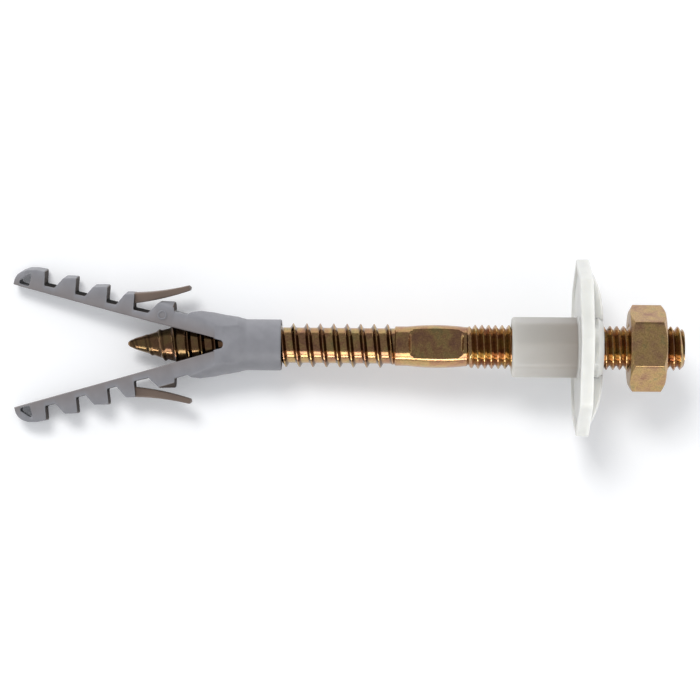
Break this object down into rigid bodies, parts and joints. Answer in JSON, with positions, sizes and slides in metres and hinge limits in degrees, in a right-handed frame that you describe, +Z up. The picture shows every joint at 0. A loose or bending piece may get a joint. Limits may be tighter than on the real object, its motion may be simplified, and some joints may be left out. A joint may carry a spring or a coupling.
{
  "type": "sanitary fixing anchor",
  "caption": "Hanger bolt with a wood thread in a toothed expansion plug, a flanged octagonal bush and a hexagon nut, for fixing sanitary ware to a wall.",
  "frame": {"origin": "on the stud's axis, in the plane of the plug's mouth, which sits flush with the wall", "axes": "+X along the part towards the nut, +Y across the two legs, +Z up; the part lies on its leg tips and on one corner of the flange, so the stud's axis rises 7.70 degrees from +X towards +Z"},
  "size_m": [0.1488, 0.0398, 0.0399],
  "materials": {
    "grey_polyamide": "satin moulded",
    "chromated_steel": "yellow-chromated zinc plating, rolled threads",
    "natural_polyamide": "moulded, slightly translucent",
    "chromated_steel_nut": "yellow-chromated zinc plating"
  },
  "bodies": {
    "plug": {"expansion_plug": "grey_polyamide"},
    "stud": {"stud": "chromated_steel"},
    "bush": {"flange_bush": "natural_polyamide"},
    "nut": {"hex_nut": "chromated_steel_nut"}
  },
  "joints": [
    {"name": "stud_drive", "type": "slide", "parent": "plug", "child": "stud", "axis": [-0.991, 0, -0.134], "range_m": [0, 0.028]},
    {"name": "bush_travel", "type": "slide", "parent": "stud", "child": "bush", "axis": [-0.991, 0, -0.134], "range_m": [-0.002, 0.0228]},
    {"name": "nut_travel", "type": "slide", "parent": "bush", "child": "nut", "axis": [-0.991, 0, -0.134], "range_m": [-0.0021, 0.0056]}
  ]
}
